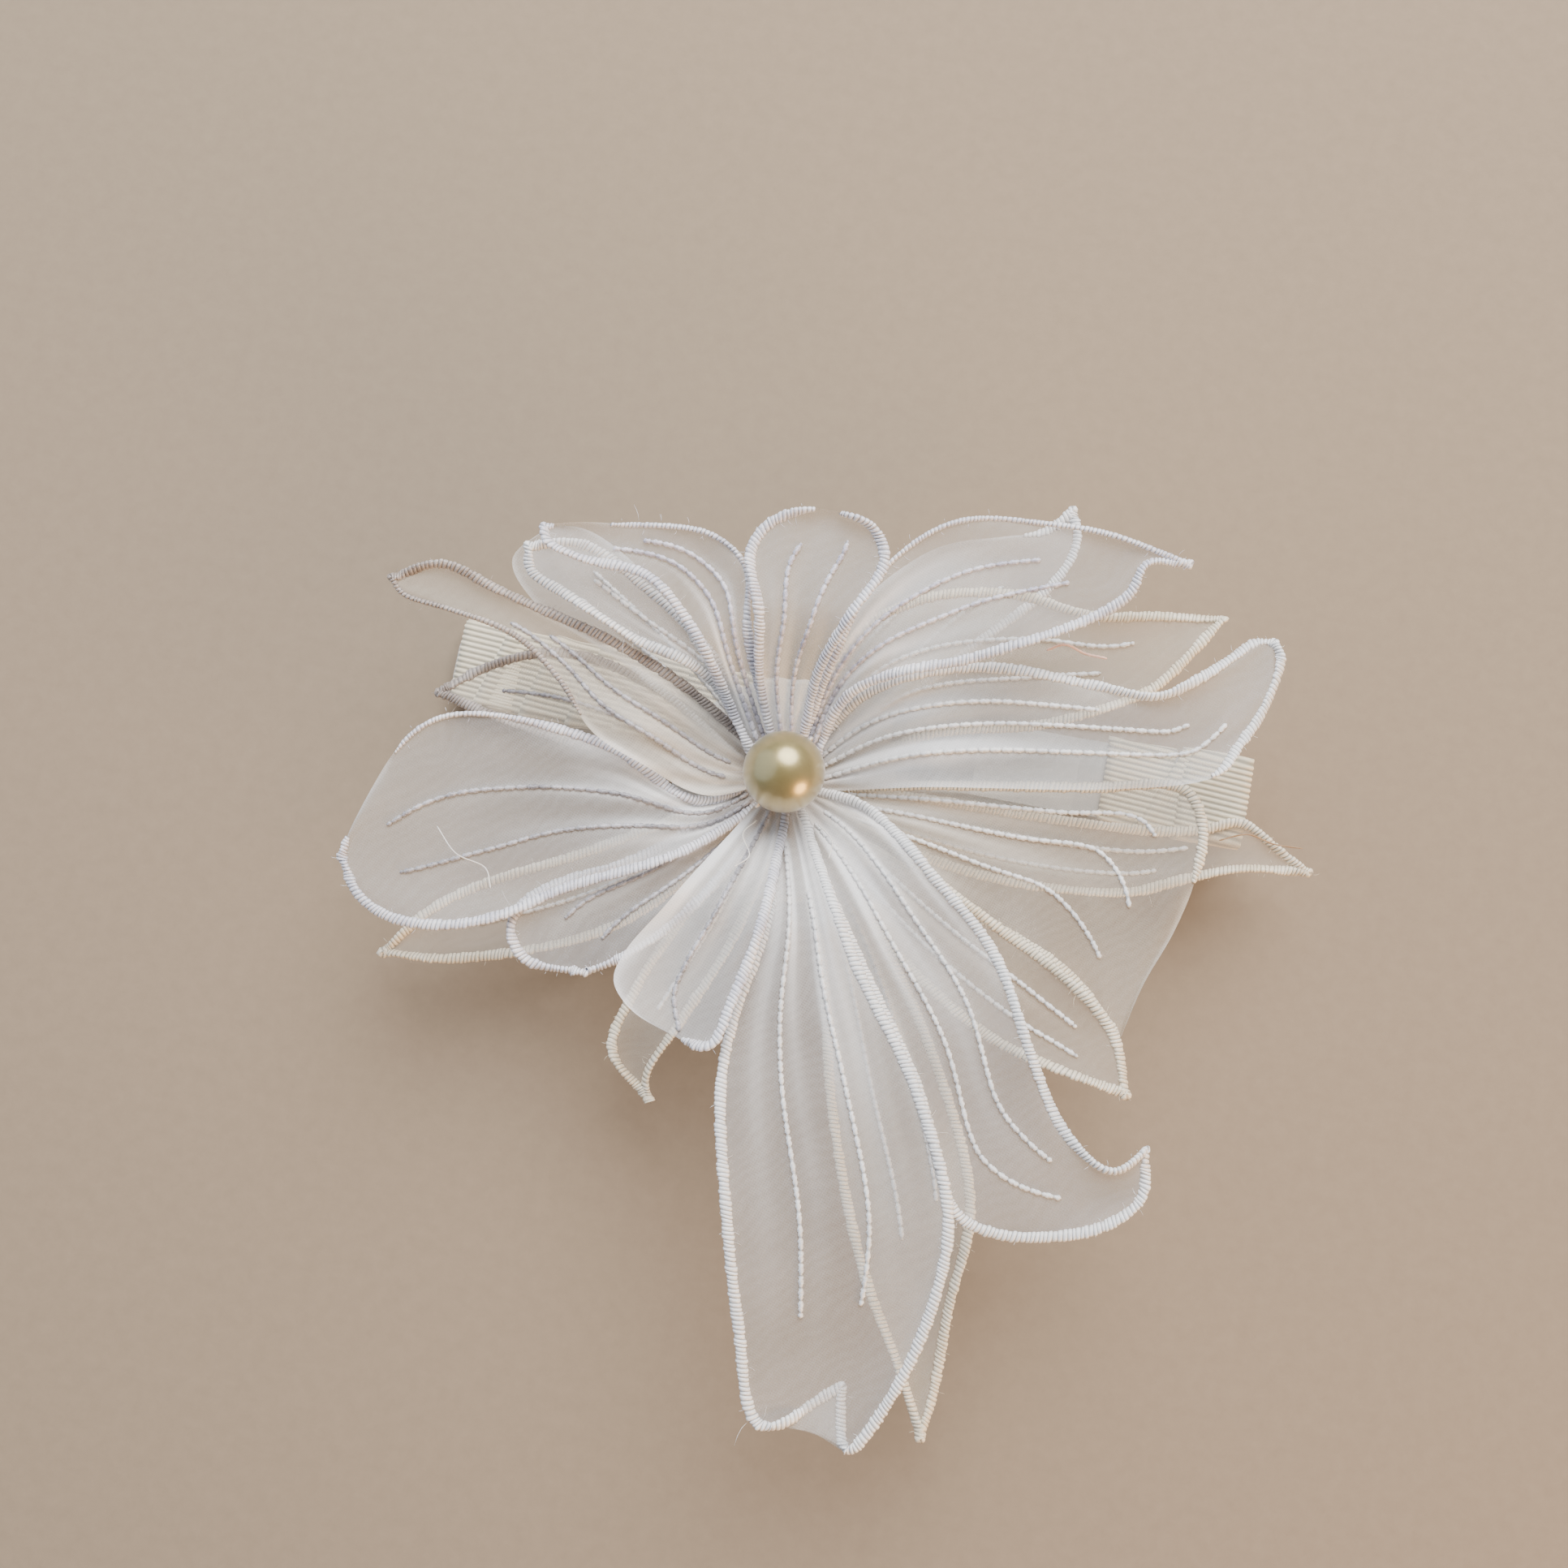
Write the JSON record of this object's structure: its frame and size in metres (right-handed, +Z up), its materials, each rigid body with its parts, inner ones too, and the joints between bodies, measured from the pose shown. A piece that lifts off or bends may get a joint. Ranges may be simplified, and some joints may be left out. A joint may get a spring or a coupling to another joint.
{
  "type": "flower hair clip",
  "caption": "Large layered flower of sheer embroidered petals under a pearl bead, sewn on a ribbon-wrapped sprung beak hair clip.",
  "frame": {"origin": "middle of the lower arm's flat underside", "axes": "+Z up, the way the flower faces; X along the clip with its mouth at -X and its levers at +X"},
  "size_m": [0.1414, 0.1407, 0.0373],
  "materials": {
    "steel": "stamped nickel-plated strip",
    "spring_steel": "bright drawn wire",
    "grosgrain": "ivory grosgrain ribbon with crosswise ribs",
    "felt": "white felt",
    "organza": "sheer white organza, plain weave",
    "thread": "shiny white embroidery thread",
    "pearl": "champagne pearl coating, glossy"
  },
  "bodies": {
    "lower_jaw": {"lower_arm": "steel", "jaw_lining": "grosgrain", "hinge_pin": "steel", "torsion_spring": "spring_steel"},
    "upper_jaw": {"upper_arm": "steel", "ribbon_wrap_jaw": "grosgrain", "ribbon_wrap_lever": "grosgrain", "felt_base": "felt", "gather_core": "organza", "binding_thread": "thread", "pearl_bead": "pearl", "bead_thread": "thread", "petal_lower_1": "organza", "petal_lower_2": "organza", "petal_lower_3": "organza", "petal_lower_4": "organza", "petal_lower_5": "organza", "petal_lower_6": "organza", "petal_lower_7": "organza", "petal_middle_1": "organza", "petal_middle_2": "organza", "petal_middle_3": "organza", "petal_middle_4": "organza", "petal_middle_5": "organza", "petal_middle_6": "organza", "petal_middle_7": "organza", "petal_upper_1": "organza", "petal_upper_2": "organza", "petal_upper_3": "organza", "petal_upper_4": "organza", "petal_upper_5": "organza", "petal_upper_6": "organza", "petal_upper_7": "organza"}
  },
  "joints": [
    {"name": "jaw_hinge", "type": "hinge", "parent": "lower_jaw", "child": "upper_jaw", "pos_m": [0.03, 0, 0.0036], "axis": [0, 1, 0], "range_deg": [0, 13], "stiffness_Nm_per_rad": 0.3, "springref_deg": -20.05}
  ]
}
